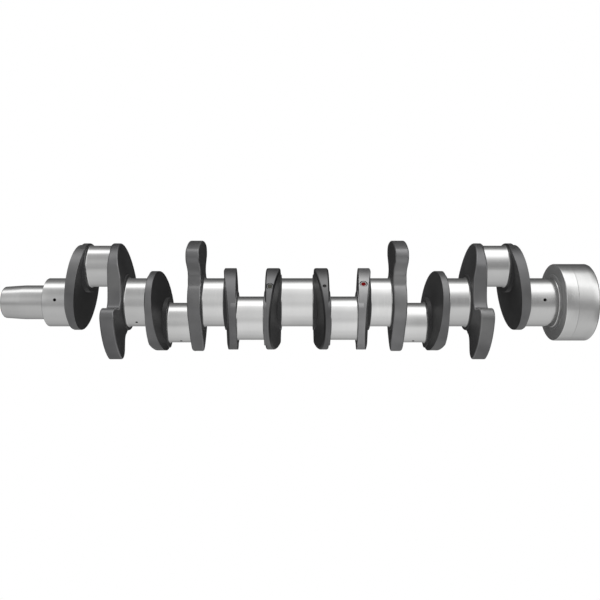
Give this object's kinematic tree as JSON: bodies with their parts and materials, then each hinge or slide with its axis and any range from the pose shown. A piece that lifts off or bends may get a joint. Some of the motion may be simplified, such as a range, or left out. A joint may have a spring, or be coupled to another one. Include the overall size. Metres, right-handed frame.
{
  "type": "crankshaft",
  "caption": "Forged steel crankshaft of an inline-six diesel engine, with ground journals, fan-shaped counterweights, a front nose and a rear flywheel flange.",
  "frame": {"origin": "on the spin axis, at the middle of the centre main journal (main journal 4)", "axes": "+X along the spin axis from the nose toward the flywheel flange, +Z from the spin axis through crankpins 1 and 6, +Y completes the right-handed frame"},
  "size_m": [1.0086, 0.1977, 0.2068],
  "materials": {
    "forged_steel": "satin",
    "ground_steel": "polished",
    "turned_steel": "satin",
    "sealed_plug": "satin"
  },
  "bodies": {
    "root": {"nose": "turned_steel", "main_journal_1": "ground_steel", "main_journal_2": "ground_steel", "main_journal_3": "ground_steel", "main_journal_4": "ground_steel", "main_journal_5": "ground_steel", "main_journal_6": "ground_steel", "main_journal_7": "ground_steel", "crankpin_1": "ground_steel", "crankpin_2": "ground_steel", "crankpin_3": "ground_steel", "crankpin_4": "ground_steel", "crankpin_5": "ground_steel", "crankpin_6": "ground_steel", "web_1": "forged_steel", "web_2_counterweighted": "forged_steel", "web_3": "forged_steel", "web_4_counterweighted": "forged_steel", "web_5": "forged_steel", "web_6": "forged_steel", "web_7": "forged_steel", "web_8": "forged_steel", "web_9_counterweighted": "forged_steel", "web_10": "forged_steel", "web_11_counterweighted": "forged_steel", "web_12": "forged_steel", "oil_gallery_plug_1": "sealed_plug", "oil_gallery_plug_2": "sealed_plug", "oil_gallery_plug_3": "sealed_plug", "oil_gallery_plug_4": "sealed_plug", "oil_gallery_plug_5": "sealed_plug", "oil_gallery_plug_6": "sealed_plug", "rear_seal_land": "ground_steel", "flywheel_flange": "turned_steel"}
  },
  "joints": []
}
